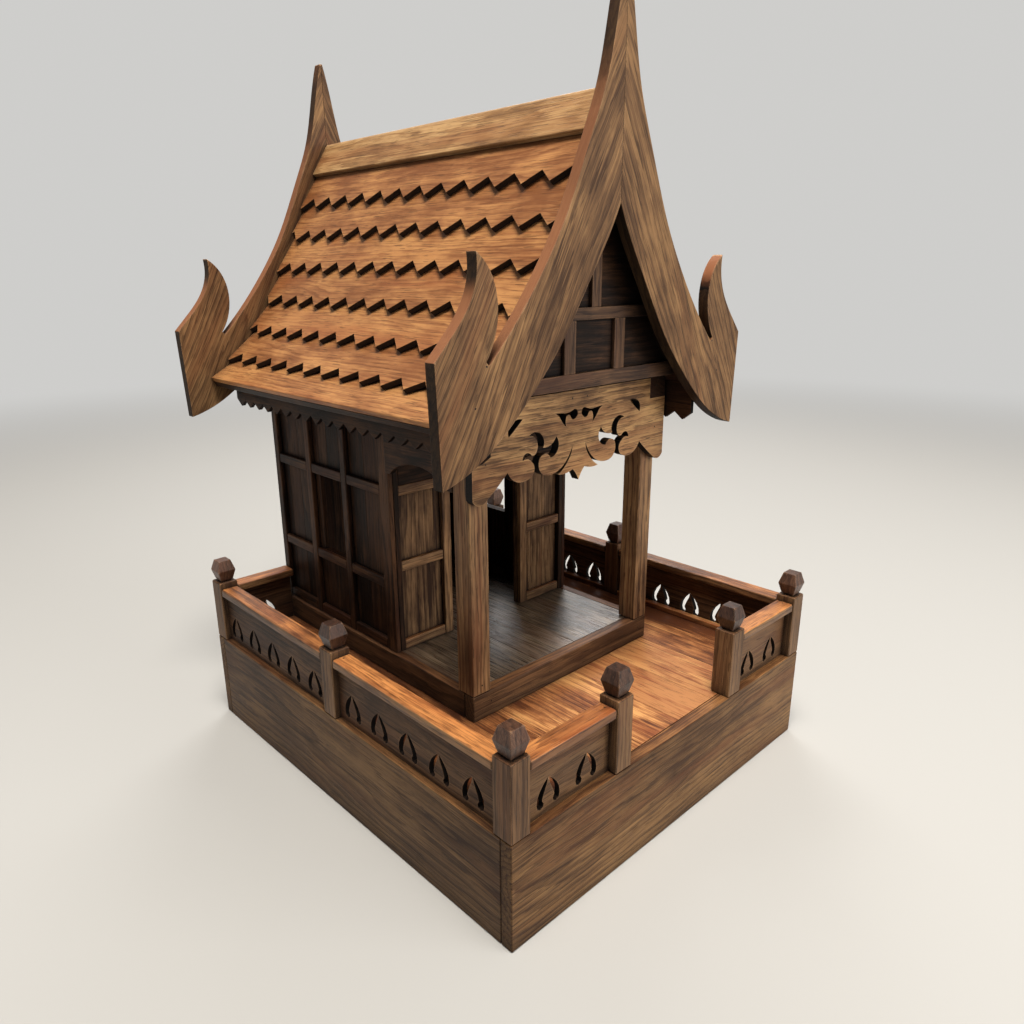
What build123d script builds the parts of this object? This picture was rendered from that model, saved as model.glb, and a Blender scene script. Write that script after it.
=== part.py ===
from build123d import *
import math
import os

# Sizes are in millimetres, +Z is up, the porch faces -Y.
# Pieces are drawn round the middle of the base and moved at the end, so that
# the origin is under the middle of the whole object, on the ground.
# Everything the walls and porch posts carry is drawn with its heights measured
# from the underside of the wall plates, and set on top of the walls at the end.

# Base
base_width = 340.0
base_depth = 380.0
board_height = 69.6
board_thickness = 9.5
sill_height = 7.0
sill_width = 16.0
deck_top = board_height + sill_height

# Fence
post_size = 16.0
post_height = 53.4
gate_half_gap = 60.0
middle_post_shift = 2.5
rail_drop = 5.0
rail_height = 7.2
rail_inset = 0.5
side_panel_inset = 5.0
end_panel_inset = 7.0
panel_thickness = 4.0
ledge_height = 5.0
ledge_width = 6.0
rail_bottom = deck_top + post_height - rail_drop - rail_height

# Finials of the fence posts
neck_width = 9.0
neck_height = 1.5
finial_foot = 11.0
finial_belt = 15.5
finial_top = 10.5
belt_height = 10.0
finial_height = 19.0

# Cut-outs of the fence panels, two to an arch: points of the right one as (x, z) from its foot
slot_points = [(0.6, 20.2), (4.3, 17.0), (7.3, 13.4), (9.5, 9.0), (10.1, 4.6), (9.2, 1.3),
               (6.9, 0.0), (4.6, 1.2), (4.0, 3.4), (5.4, 5.9), (4.2, 9.6), (1.0, 16.8)]
slot_foot = 4.0
side_arches = 5
side_arch_pitch = 32.5
side_arch_shift = 3.0
gate_arches = 2
gate_arch_pitch = 34.6
back_arches = 1

# House platform
platform_half = 101.3
platform_front = -80.0
platform_height = 20.1
fascia_thickness = 8.0
floor_thickness = 6.0
platform_top = deck_top + platform_height

# Walls: a thin sheet with a raised frame on its outside
wall_half = 99.0
wall_front = 15.0
wall_back = base_depth / 2
sheet_thickness = 4.5
trim_thickness = 4.5
front_stile = 13.0
stile_width = 7.8
rail_width = 8.2
low_rail = 52.8
high_rail = 128.8
door_half = 39.5
door_rail = 67.3
jamb_width = 8.5
window_margin = 7.0
wall_thickness = sheet_thickness + trim_thickness
wall_inner = wall_half - wall_thickness
sheet_half = wall_half - trim_thickness

# Porch posts and wall plates
wall_height = 194.8
plate_bottom = platform_top + wall_height
porch_post = 17.2
plate_inner = 84.0
plate_outer = 104.0
plate_bevel = 3.0

# Roof line: straight below the ridge cap, then sweeping out to the eave
roof_front = -109.4
roof_back = 227.4
cap_top = 208.5
cap_edge = (17.2, 182.0)
cap_thickness = 4.4
roof_slope = 62.3
straight_run = 100.0
sweep_radius = 268.0
first_course_run = 34.0
course_pitch = 31.0
eave_run = 21.5
course_thickness = 4.4
course_overlap = 14.0
eave_board_thickness = 4.4
deck_board = 5.0

# Teeth of the roof courses: from a notch back to the tip and to the next notch
tooth_depth = 9.7
tooth_front_side = 14.2
tooth_pitch = 25.9
first_notches = [9.5, -2.6, 9.9, 1.8, -8.2, 9.0]
course_count = len(first_notches)

# Bargeboards: points of the right half as (x, z)
barge_thickness = 8.6
spire = [(1.2, 274.5), (7.3, 249.5), (17.3, 206.5), (30.2, 175.5), (51.0, 130.5),
         (74.8, 93.0), (103.8, 57.5), (116.0, 45.0)]
wing_inside = [(118.2, 47.1), (108.6, 73.5), (111.2, 91.5), (125.0, 108.2)]
wing_outside = [(125.0, 108.2), (131.2, 78.5), (147.2, 59.3), (156.5, 49.5)]
barge_foot = (153.6, -23.9)
barge_inside = [(153.6, -23.9), (125.0, -12.5), (83.0, 21.5), (52.5, 55.5),
                (29.5, 89.5), (13.0, 114.5), (0.0, 138.5)]

# Eave valances: how far they stand off the wall plates and hang below the roof deck
valance_inner = plate_outer + 4.0
valance_thickness = 3.5
valance_drop = 30.4
valance_tooth = 6.0
valance_pitch = 16.4

# Fretwork between the porch posts: arcs of the right half as (x, z), each a point on its way and its end
fret_thickness = 6.6
fret_top = 16.0
fret_outer_foot = (plate_outer, -46.5)
fret_scrolls = [
    (99.3, -50.3), (93.0, -49.1), (82.5, -41.3), (72.3, -32.5),
    (62.7, -40.9), (50.0, -39.7), (46.4, -34.5), (49.4, -28.6), (53.2, -26.2), (58.0, -26.7),
    (55.5, -22.4), (50.2, -23.4), (47.2, -24.5), (44.5, -22.5), (44.4, -14.1), (52.0, -10.5),
    (42.2, -9.3), (36.8, -17.8), (37.2, -19.1), (38.0, -20.5), (30.1, -19.7), (24.5, -14.5),
    (22.5, -23.7), (30.3, -28.9), (35.0, -25.3), (41.2, -27.7), (41.4, -36.2), (34.6, -41.2),
    (26.2, -41.0), (18.0, -37.7), (11.5, -31.4), (7.2, -23.5), (7.7, -27.3), (9.2, -30.8),
    (14.8, -37.7), (22.0, -42.9), (14.1, -43.3), (6.5, -41.5), (2.8, -45.7), (0.0, -50.5),
]
fret_crescent = [(63.2, 2.4), (68.2, 0.6), (71.3, -3.4), (71.0, -8.5), (64.4, -3.4), (58.0, 2.0)]
fret_leaf = [
    (21.3, 1.4), (15.9, 0.8), (11.1, 1.0), (6.5, 2.5), (2.4, 0.9), (3.8, -3.4), (6.9, -4.7), (9.5, -2.5),
    (11.5, -0.8), (14.0, -1.5), (15.0, -5.3), (14.2, -9.2), (17.4, -6.3), (20.1, -2.9), (22.9, 0.1),
    (26.5, 1.9),
]

# Aprons beside the porch, below the wall plates: points of the arch as (y, z) from its middle
apron_thickness = 4.5
apron_foot = -45.5
apron_arch = [(0.0, -33.9), (12.5, -35.0), (19.5, -37.2), (26.5, -40.5), (32.5, -45.5)]

# Gables
gable_front_face = -100.0
gable_sheet = 3.5
gable_trim = 3.0
gable_foot = 19.5
gable_low_rail = 10.6
gable_stile_inner = 20.5
gable_stile_outer = 31.8
gable_mid_rail = (65.2, 73.6)
king_stile_half = 4.8

# The bargeboards reach further back than the base, so the whole is moved forward by half of that
overall_front = -base_depth / 2
overall_back = roof_back + barge_thickness
shift_y = -(overall_front + overall_back) / 2


# A box between two corners
def box(x0, x1, y0, y1, z0, z1):
    middle = Vector((x0 + x1) / 2, (y0 + y1) / 2, (z0 + z1) / 2)
    return Pos(middle) * Box(x1 - x0, y1 - y0, z1 - z0)


# The same piece on the other side of the middle plane
def mirrored(shape):
    return mirror(shape, about=Plane.YZ)


# Pieces of one node that stand apart
def together(*shapes):
    return Compound([solid for shape in shapes for solid in shape.solids()])


# A piece with its mirror image
def pair(shape):
    return together(shape, mirrored(shape))


# A closed outline of (x, z) points, carried from y0 to y1
def along_y(points, y0, y1):
    outline = Polyline(*[(x, y0, z) for x, z in points], close=True)
    return extrude(make_face(outline), amount=y1 - y0, dir=(0, 1, 0))


# Base: front and back boards run the whole width, side boards fit between them
def base():
    half_w = base_width / 2
    half_d = base_depth / 2
    t = board_thickness
    w = sill_width
    front = box(-half_w, half_w, -half_d, -half_d + t, 0, board_height)
    left = box(-half_w, -half_w + t, -half_d + t, half_d - t, 0, board_height)
    front_sill = box(-half_w, half_w, -half_d, -half_d + w, board_height, deck_top)
    left_sill = box(-half_w, -half_w + w, -half_d + w, half_d - w, board_height, deck_top)
    return {
        "base_end_boards": together(front, mirror(front, about=Plane.XZ)),
        "base_side_boards": pair(left),
        "sills_ends": together(front_sill, mirror(front_sill, about=Plane.XZ)),
        "sills_sides": pair(left_sill),
        "deck": box(-half_w + w, half_w - w, -half_d + w, half_d - w, board_height, deck_top),
    }


# Lower inner corners of the fence posts of the left half
def left_post_places():
    x = -base_width / 2
    y = base_depth / 2
    return [
        (x, -y),
        (x, middle_post_shift - post_size / 2),
        (x, y - post_size),
        (-gate_half_gap - post_size, -y),
    ]


def fence_post(x, y):
    return box(x, x + post_size, y, y + post_size, deck_top, deck_top + post_height)


# Faceted finial: a neck, then a block that widens to a belt and narrows to a flat top
def finial(x, y):
    foot = deck_top + post_height
    low = foot + neck_height
    belt = foot + belt_height
    neck = box(x - neck_width / 2, x + neck_width / 2, y - neck_width / 2, y + neck_width / 2, foot, low)
    widening = loft([
        Pos(x, y, low) * Rectangle(finial_foot, finial_foot),
        Pos(x, y, belt) * Rectangle(finial_belt, finial_belt),
    ], ruled=True)
    narrowing = loft([
        Pos(x, y, belt) * Rectangle(finial_belt, finial_belt),
        Pos(x, y, foot + finial_height) * Rectangle(finial_top, finial_top),
    ], ruled=True)
    return neck + widening + narrowing


def posts():
    half = post_size / 2
    columns = []
    tops = []
    for x, y in left_post_places():
        column = fence_post(x, y)
        top = finial(x + half, y + half)
        columns += [column, mirrored(column)]
        tops += [top, mirrored(top)]
    return {"fence_posts": together(*columns), "post_finials": together(*tops)}


# Pierced panel: length along X, height along Y, its near face on the plane
def pierced_panel(length, arches, pitch, shift):
    height = rail_bottom - deck_top
    panel = Pos(length / 2, height / 2) * Rectangle(length, height)
    right = make_face(Polyline(*slot_points, close=True))
    left = mirror(right, about=Plane.YZ)
    for i in range(arches):
        middle = length / 2 + shift + (i - (arches - 1) / 2) * pitch
        panel -= Pos(middle, slot_foot) * right
        panel -= Pos(middle, slot_foot) * left
    return extrude(panel, amount=panel_thickness, dir=(0, 0, -1))


# Side fence: two bays on the left, each a handrail over a pierced panel with a ledge at its foot
def side_fence():
    x = -base_width / 2
    y = base_depth / 2
    top = rail_bottom + rail_height
    half = post_size / 2
    bays = [(-y + post_size, middle_post_shift - half), (middle_post_shift + half, y - post_size)]
    rails = []
    panels = []
    ledges = []
    for start, end in bays:
        rails.append(box(x + rail_inset, x + post_size - rail_inset, start, end, rail_bottom, top))
        face = x + side_panel_inset
        plane = Plane((face, end, deck_top), x_dir=(0, -1, 0), z_dir=(-1, 0, 0))
        panels.append(plane * pierced_panel(end - start, side_arches, side_arch_pitch, -side_arch_shift))
        back = face + panel_thickness
        ledges.append(box(back, back + ledge_width, start, end, deck_top, deck_top + ledge_height))
    return rails, panels, ledges


# Front fence beside the gate, and the short fence between the back posts and the house
def end_fence():
    x = -base_width / 2 + post_size
    y = base_depth / 2
    gate = -gate_half_gap - post_size
    top = rail_bottom + rail_height
    front = box(x, gate, -y + rail_inset, -y + post_size - rail_inset, rail_bottom, top)
    back = box(x, -wall_half, y - post_size + rail_inset, y - rail_inset, rail_bottom, top)
    plane = Plane((x, -y + end_panel_inset, deck_top), x_dir=(1, 0, 0), z_dir=(0, -1, 0))
    front_panel = plane * pierced_panel(gate - x, gate_arches, gate_arch_pitch, 0)
    plane = Plane((-platform_half, y - end_panel_inset, deck_top), x_dir=(-1, 0, 0), z_dir=(0, 1, 0))
    back_panel = plane * pierced_panel(-platform_half - x, back_arches, gate_arch_pitch, 0)
    return front, back, front_panel, back_panel


def fence():
    rails, panels, ledges = side_fence()
    front, back, front_panel, back_panel = end_fence()
    all_rails = rails + [front, back]
    return {
        "handrails": together(*all_rails, *[mirrored(r) for r in all_rails]),
        "fence_panels_sides": together(*panels, *[mirrored(p) for p in panels]),
        "fence_panels_front": pair(front_panel),
        "fence_panels_back": pair(back_panel),
        "fence_ledges": together(*ledges, *[mirrored(s) for s in ledges]),
    }


# Platform of the house: fascia boards under a floor
def platform():
    h = platform_half
    t = fascia_thickness
    top = platform_top - floor_thickness
    y0 = platform_front
    y1 = wall_back
    left = box(-h, -h + t, y0 + t, y1 - t, deck_top, top)
    front = box(-h, h, y0, y0 + t, deck_top, top)
    back = box(-h, h, y1 - t, y1, deck_top, top)
    return {
        "platform_ends": together(front, back),
        "platform_sides": pair(left),
        "platform_floor": box(-h, h, y0, y1, top, platform_top),
    }


# Raised frame: length along X, height along Y, its outer face forward; bars given as spans
def frame_grid(length, height, stiles, rails):
    frame = Sketch()
    for a, b in stiles:
        frame += Pos((a + b) / 2, height / 2) * Rectangle(b - a, height)
    for a, b in rails:
        frame += Pos(length / 2, (a + b) / 2) * Rectangle(length, b - a)
    return extrude(frame, amount=trim_thickness, dir=(0, 0, 1))


# Rails of a closed wall above the platform: foot, low, high and top
def wall_rails():
    starts = [0, low_rail, high_rail, wall_height - rail_width]
    return [(s, s + rail_width) for s in starts]


# Stiles of a side wall, measured from the porch: the inner two split the rest into three bays
def side_stiles():
    length = wall_back - wall_front
    bay = (length - front_stile - 3 * stile_width) / 3
    first = front_stile + bay
    second = first + stile_width + bay
    starts = [(0, front_stile), (first, first + stile_width)]
    return starts + [(second, second + stile_width), (length - stile_width, length)]


# Left wall with a window in its middle bay, and its raised frame
def side_wall():
    length = wall_back - wall_front
    stiles = side_stiles()
    rails = wall_rails()
    y0 = wall_front + stiles[1][1] + window_margin
    y1 = wall_front + stiles[2][0] - window_margin
    z0 = platform_top + rails[1][1]
    z1 = platform_top + rails[2][0]
    sheet = box(-sheet_half, -wall_inner, wall_front, wall_back, platform_top, plate_bottom)
    sheet -= box(-wall_half, 0, y0, y1, z0, z1)
    plane = Plane((-sheet_half, wall_back, platform_top), x_dir=(0, -1, 0), z_dir=(-1, 0, 0))
    turned = [(length - b, length - a) for a, b in stiles]
    return sheet, plane * frame_grid(length, wall_height, turned, rails)


# Front wall left of the open doorway, its raised frame, and the board over the doorway
def front_wall():
    length = wall_inner - door_half
    height = high_rail + rail_width
    top = platform_top + height
    y0 = wall_front + trim_thickness
    y1 = wall_front + wall_thickness
    sheet = box(-wall_inner, -door_half, y0, y1, platform_top, top)
    rails = [(0, rail_width), (door_rail, door_rail + rail_width), (high_rail, height)]
    plane = Plane((-wall_inner, y0, platform_top), x_dir=(1, 0, 0), z_dir=(0, -1, 0))
    frame = plane * frame_grid(length, height, [(length - jamb_width, length)], rails)
    header = box(-wall_inner, wall_inner, wall_front, y1, top, plate_bottom)
    return sheet, frame, header


# Back wall between the side walls, and its raised frame
def back_wall():
    y = wall_back - trim_thickness
    length = 2 * wall_inner
    bay = (length - 2 * stile_width) / 3
    stiles = [(bay, bay + stile_width), (2 * bay + stile_width, 2 * bay + 2 * stile_width)]
    sheet = box(-wall_inner, wall_inner, y - sheet_thickness, y, platform_top, plate_bottom)
    plane = Plane((wall_inner, y, platform_top), x_dir=(-1, 0, 0), z_dir=(0, 1, 0))
    return sheet, plane * frame_grid(length, wall_height, stiles, wall_rails())


def walls():
    side, side_frame = side_wall()
    front, front_frame, header = front_wall()
    back, back_frame = back_wall()
    return {
        "left_wall": side,
        "right_wall": mirrored(side),
        "side_wall_frames": pair(side_frame),
        "front_wall": pair(front),
        "front_wall_frame": pair(front_frame),
        "door_header": header,
        "back_wall": back,
        "back_wall_frame": back_frame,
    }


# Point of the roof line at a distance down the slope from the edge of the ridge cap
def roof_point(run):
    steep = math.radians(roof_slope)
    straight = min(run, straight_run)
    flatter = steep - max(run - straight_run, 0) / sweep_radius
    x = straight * math.cos(steep) + sweep_radius * (math.sin(steep) - math.sin(flatter))
    z = straight * math.sin(steep) + sweep_radius * (math.cos(flatter) - math.cos(steep))
    return (cap_edge[0] + x, cap_edge[1] - z)


# Unit vectors of a board between two points: up the slope and out of the roof
def board_axes(upper, lower):
    run = math.dist(upper, lower)
    up = ((upper[0] - lower[0]) / run, (upper[1] - lower[1]) / run)
    return up, (up[1], -up[0])


def moved(point, direction, distance):
    return (point[0] + direction[0] * distance, point[1] + direction[1] * distance)


# Boards of the right slope from the ridge down: lower outer edge, up, out, thickness and length
def roof_boards():
    runs = [first_course_run + k * course_pitch for k in range(course_count)]
    runs.append(runs[-1] + eave_run)
    up, out = board_axes((0, cap_top), cap_edge)
    seat = moved(cap_edge, out, -cap_thickness)
    boards = []
    for k, run in enumerate(runs):
        edge = roof_point(run)
        thickness = course_thickness if k < course_count else eave_board_thickness
        up, out = board_axes(seat, edge)
        boards.append((edge, up, out, thickness, math.dist(seat, edge) + course_overlap))
        seat = moved(edge, out, -thickness)
    return boards


# One toothed course of the right slope, its row of teeth cut off at the bargeboards
def course(board, first_notch):
    edge, up, out, thickness, length = board
    notch = roof_front + first_notch - tooth_pitch
    points = [(notch, length)]
    while notch < roof_back:
        points += [(notch, tooth_depth), (notch + tooth_front_side, 0)]
        notch += tooth_pitch
    points += [(notch, tooth_depth), (notch, length)]
    outline = make_face(Polyline(*points, close=True))
    outline &= Pos((roof_front + roof_back) / 2, length / 2) * Rectangle(roof_back - roof_front, length)
    plane = Plane((edge[0], 0, edge[1]), x_dir=(0, 1, 0), z_dir=(out[0], 0, out[1]))
    return plane * extrude(outline, amount=thickness, dir=(0, 0, -1))


# Plain board along the eave of the right slope
def eave_board(board):
    edge, up, out, thickness, length = board
    top = moved(edge, up, length)
    corners = [edge, top, moved(top, out, -thickness), moved(edge, out, -thickness)]
    return along_y(corners, roof_front, roof_back)


# Outer line of the roof deck: it runs under the upper inner corner of every board to the eave
def deck_line():
    boards = roof_boards()
    line = [moved(moved(edge, up, length), out, -thickness) for edge, up, out, thickness, length in boards]
    edge, up, out, thickness, length = boards[-1]
    line.append(moved(edge, out, -thickness))
    up, out = board_axes(line[0], line[1])
    return [moved(line[0], up, line[0][0] / -up[0])] + line


# The deck's underside: every point of its outer line moved in by the thickness
def underside_line():
    line = deck_line()
    under = []
    for i, point in enumerate(line):
        up, out = board_axes(line[max(i - 1, 0)], line[min(i + 1, len(line) - 1)])
        under.append(moved(point, out, -deck_board))
    return under


# Height of the deck's underside at a distance from the middle plane
def underside_height(x):
    line = underside_line()
    heights = [z0 + (z1 - z0) * (x - x0) / (x1 - x0) for (x0, z0), (x1, z1) in zip(line, line[1:]) if x0 <= x < x1]
    return heights[0]


def roof_deck():
    outline = deck_line() + list(reversed(underside_line()))
    slab = along_y(outline, roof_front, roof_back)
    return slab & box(0, base_width, roof_front, roof_back, -wall_height, cap_top)


# Everything above the deck's underside on both slopes, to trim what stands under the roof
def above_underside():
    line = underside_line()
    above = cap_top + 50
    outline = line + [(base_width, line[-1][1]), (base_width, above), (line[0][0], above)]
    right = along_y(outline, roof_front, roof_back)
    right &= box(0, base_width, roof_front, roof_back, -wall_height, above)
    return right + mirrored(right)


# Right half of the ridge cap, mitred over the ridge
def ridge_cap():
    up, out = board_axes((0, cap_top), cap_edge)
    inner = moved(cap_edge, out, -cap_thickness)
    top = moved(inner, up, inner[0] / -up[0])
    return along_y([(0, cap_top), cap_edge, inner, top], roof_front, roof_back)


def roof():
    boards = roof_boards()
    slope = roof_deck()
    cap = ridge_cap()
    made = {
        "roof_deck_right": slope,
        "roof_deck_left": mirrored(slope),
        "ridge_cap_right": cap,
        "ridge_cap_left": mirrored(cap),
        "eave_boards": pair(eave_board(boards[-1])),
    }
    for k, first_notch in enumerate(first_notches):
        made["roof_course_" + str(k + 1)] = pair(course(boards[k], first_notch))
    return made


# Right half of a bargeboard with its spire and wing
def bargeboard_half():
    outline = [
        Line(barge_inside[-1], (0, spire[0][1])),
        Line((0, spire[0][1]), spire[0]),
        Spline(*spire),
        Line(spire[-1], wing_inside[0]),
        Spline(*wing_inside),
        Spline(*wing_outside),
        Line(wing_outside[-1], barge_foot),
        Spline(*barge_inside),
    ]
    face = make_face(Curve() + outline)
    return Plane.XZ * extrude(face, amount=barge_thickness, dir=(0, 0, -1))


def bargeboards():
    half = bargeboard_half()
    front = Pos(0, roof_front - barge_thickness, 0) * half
    back = Pos(0, roof_back, 0) * half
    return {
        "bargeboard_front_right": front,
        "bargeboard_front_left": mirrored(front),
        "bargeboard_back_right": back,
        "bargeboard_back_left": mirrored(back),
    }


# Sawtooth valance under the right eave, its top cut to the slope of the roof
def eave_valance():
    top = underside_height(valance_inner) + 1
    tip = underside_height(valance_inner) - valance_drop
    length = roof_back - roof_front
    teeth = round(length / valance_pitch)
    pitch = length / teeth
    points = [(roof_back, top), (roof_front, top), (roof_front, tip + valance_tooth)]
    for i in range(teeth):
        points.append((roof_front + (i + 0.5) * pitch, tip))
        points.append((roof_front + (i + 1) * pitch, tip + valance_tooth))
    face = make_face(Polyline(*points, close=True))
    plane = Plane((valance_inner, 0, 0), x_dir=(0, 1, 0), z_dir=(1, 0, 0))
    return plane * extrude(face, amount=valance_thickness, dir=(0, 0, 1)) - above_underside()


# Arcs one after the other: of every two points the first lies on the arc and the second ends it
def joined_arcs(start, points):
    arcs = Curve()
    for passed, end in zip(points[::2], points[1::2]):
        arcs += ThreePointArc(start, passed, end)
        start = end
    return arcs


# Right half of the fretwork board, with a shoulder cut under the wall plate
def fretwork_half():
    head = Polyline((0, fret_top), (plate_inner, fret_top), (plate_inner, 0),
                    (plate_outer, 0), fret_outer_foot)
    lace = joined_arcs(fret_outer_foot, fret_scrolls)
    board = make_face(Curve() + [head, lace, Line(fret_scrolls[-1], (0, fret_top))])
    for hole in (fret_crescent, fret_leaf):
        board -= make_face(joined_arcs(hole[-1], hole))
    return Plane.XZ * extrude(board, amount=fret_thickness, dir=(0, 0, 1))


# Left apron between porch post and front wall, its foot cut to a flat arch
def porch_apron():
    y0 = platform_front + porch_post
    middle = (y0 + wall_front) / 2
    near = [(middle + y, z) for y, z in reversed(apron_arch)]
    far = [(middle - y, z) for y, z in apron_arch]
    outline = [
        Spline(*far),
        Polyline(far[-1], (y0, apron_foot), (y0, 0), (wall_front, 0), (wall_front, apron_foot), near[0]),
        Spline(*near),
    ]
    plane = Plane((-platform_half, 0, 0), x_dir=(0, 1, 0), z_dir=(1, 0, 0))
    return plane * extrude(make_face(Curve() + outline), amount=apron_thickness, dir=(0, 0, 1))


# Porch posts, aprons, wall plates, fretwork and valances that carry or trim the roof
def porch():
    h = platform_half
    y0 = platform_front
    post = box(-h, -h + porch_post, y0, y0 + porch_post, -wall_height, 0)
    fret = Pos(0, y0, 0) * fretwork_half()
    return {
        "porch_posts": pair(post),
        "porch_aprons": pair(porch_apron()),
        "wall_plates": pair(wall_plate()),
        "fretwork": fret + mirrored(fret),
        "eave_valances": pair(eave_valance()),
    }


# Left wall plate, from the fretwork's face to the back wall, bevelled under the roof
def wall_plate():
    top = underside_height(plate_outer) + plate_bevel
    y0 = platform_front - fret_thickness
    return box(-plate_outer, -plate_inner, y0, wall_back, 0, top) - above_underside()


# Rails and stiles of a gable, their back on the plane y = 0, facing -Y
def gable_bars(foot):
    stile_top = gable_mid_rail[0]
    low_top = gable_foot + gable_low_rail
    bars = box(-plate_outer, plate_outer, -gable_trim, 0, foot, low_top)
    bars += box(-plate_outer, plate_outer, -gable_trim, 0, *gable_mid_rail)
    stile = box(gable_stile_inner, gable_stile_outer, -gable_trim, 0, low_top, stile_top)
    bars += stile + mirrored(stile)
    half = king_stile_half
    return bars + box(-half, half, -gable_trim, 0, gable_mid_rail[1], cap_top)


# Front gable under the overhanging roof, back gable over the back wall
def gables():
    roof_space = above_underside()
    front_y = gable_front_face + gable_trim
    back_y = wall_back - gable_trim
    plates = pair(wall_plate())
    w = plate_outer
    front = box(-w, w, front_y, front_y + gable_sheet, gable_foot, cap_top)
    back = box(-w, w, back_y - gable_sheet, back_y, 0, cap_top)
    front_bars = Pos(0, front_y, 0) * gable_bars(gable_foot) - roof_space
    back_bars = Pos(0, back_y, 0) * (Rot(0, 0, 180) * gable_bars(0)) - roof_space - plates
    return {
        "gable_front": front - roof_space,
        "gable_back": back - roof_space - plates,
        "gable_frames": together(front_bars, back_bars),
    }


os.makedirs("parts", exist_ok=True)
levels = {0: (base, posts, fence, platform, walls), plate_bottom: (roof, bargeboards, porch, gables)}
for height, groups in levels.items():
    for group in groups:
        for name, shape in group().items():
            export_step(Pos(0, shift_y, height) * shape, "parts/" + name + ".step")
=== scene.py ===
import math

import bmesh
import bpy
import numpy as np
from mathutils import Matrix, Vector


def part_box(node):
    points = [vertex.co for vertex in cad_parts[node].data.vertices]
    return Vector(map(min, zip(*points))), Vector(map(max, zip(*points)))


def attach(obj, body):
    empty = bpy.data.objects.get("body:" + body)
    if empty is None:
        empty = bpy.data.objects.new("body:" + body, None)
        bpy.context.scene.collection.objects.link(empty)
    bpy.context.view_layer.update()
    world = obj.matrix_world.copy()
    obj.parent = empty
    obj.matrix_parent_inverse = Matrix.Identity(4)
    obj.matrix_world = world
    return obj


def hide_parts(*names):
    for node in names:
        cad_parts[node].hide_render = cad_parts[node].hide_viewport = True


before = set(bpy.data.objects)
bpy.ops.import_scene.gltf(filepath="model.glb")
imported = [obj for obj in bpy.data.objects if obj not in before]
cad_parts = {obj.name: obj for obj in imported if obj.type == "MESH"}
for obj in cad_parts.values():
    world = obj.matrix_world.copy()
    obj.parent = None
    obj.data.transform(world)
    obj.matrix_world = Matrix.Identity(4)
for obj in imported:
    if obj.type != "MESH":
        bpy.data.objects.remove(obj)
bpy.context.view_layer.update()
mm = 0.001
dice = np.random.default_rng(11)
print("frame loaded,", len(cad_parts), "nodes")


# sRGB 0..255 to the linear colour that a shader takes
def paint(red, green, blue):
    parts = np.array([red, green, blue]) / 255
    linear = np.where(parts <= 0.04045, parts / 12.92, ((parts + 0.055) / 1.055) ** 2.4)
    return (*linear.tolist(), 1.0)


# Stained and lacquered teaks; each names what differs from the common look. dark, mid and light are
# the figure's colours and flush the redder heartwood's. grime is the dark of dirt in corners mixed with
# painted shade in recesses, and of stain and painted shade on sawn faces that look down or aside; edge
# is the colour of sawn edges that look up, lighter on carved wood as painted light, and worn shows
# through on rubbed edges. coarse is the figure's size, vary how much boards differ and sun how far
# faces that look up are lightened as painted sunlight. patches, pores, wear and soil are strengths,
# soil standing for dirt with painted shade. gloss is the roughness and shine the strength of the
# lacquer's reflection.
commonLook = dict(grimeAndShade=(15, 11, 9), edge=(15, 11, 9), worn=(172, 132, 96), coarse=1.0, vary=0.05,
                  patches=0.45, pores=0.5, gloss=0.38, shine=0.20, wear=0.55, shadeAndSoil=1.0, paintedSun=0.4)

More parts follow.
